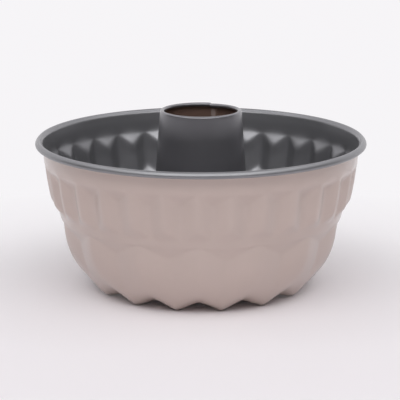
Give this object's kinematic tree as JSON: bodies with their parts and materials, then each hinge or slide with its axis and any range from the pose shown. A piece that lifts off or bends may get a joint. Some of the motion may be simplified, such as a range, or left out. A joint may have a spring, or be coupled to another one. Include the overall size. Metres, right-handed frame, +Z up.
{
  "type": "fluted ring cake pan",
  "caption": "Deep ring cake pan: pressed steel shell with small pleats over large flutes, rolled rim, and a tapered centre tube with a lap seam",
  "frame": {"origin": "on the table, where the pan's own axis meets it", "axes": "+Z runs up the centre tube; -Y is the front as pictured; +X is to the right"},
  "size_m": [0.2258, 0.2258, 0.1215],
  "materials": {
    "shell_coating": "satin taupe coating outside, dark grey non-stick inside",
    "tube_coating": "satin dark grey non-stick outside, taupe inside"
  },
  "bodies": {
    "root": {"fluted_shell": "shell_coating", "centre_tube": "tube_coating"}
  },
  "joints": []
}
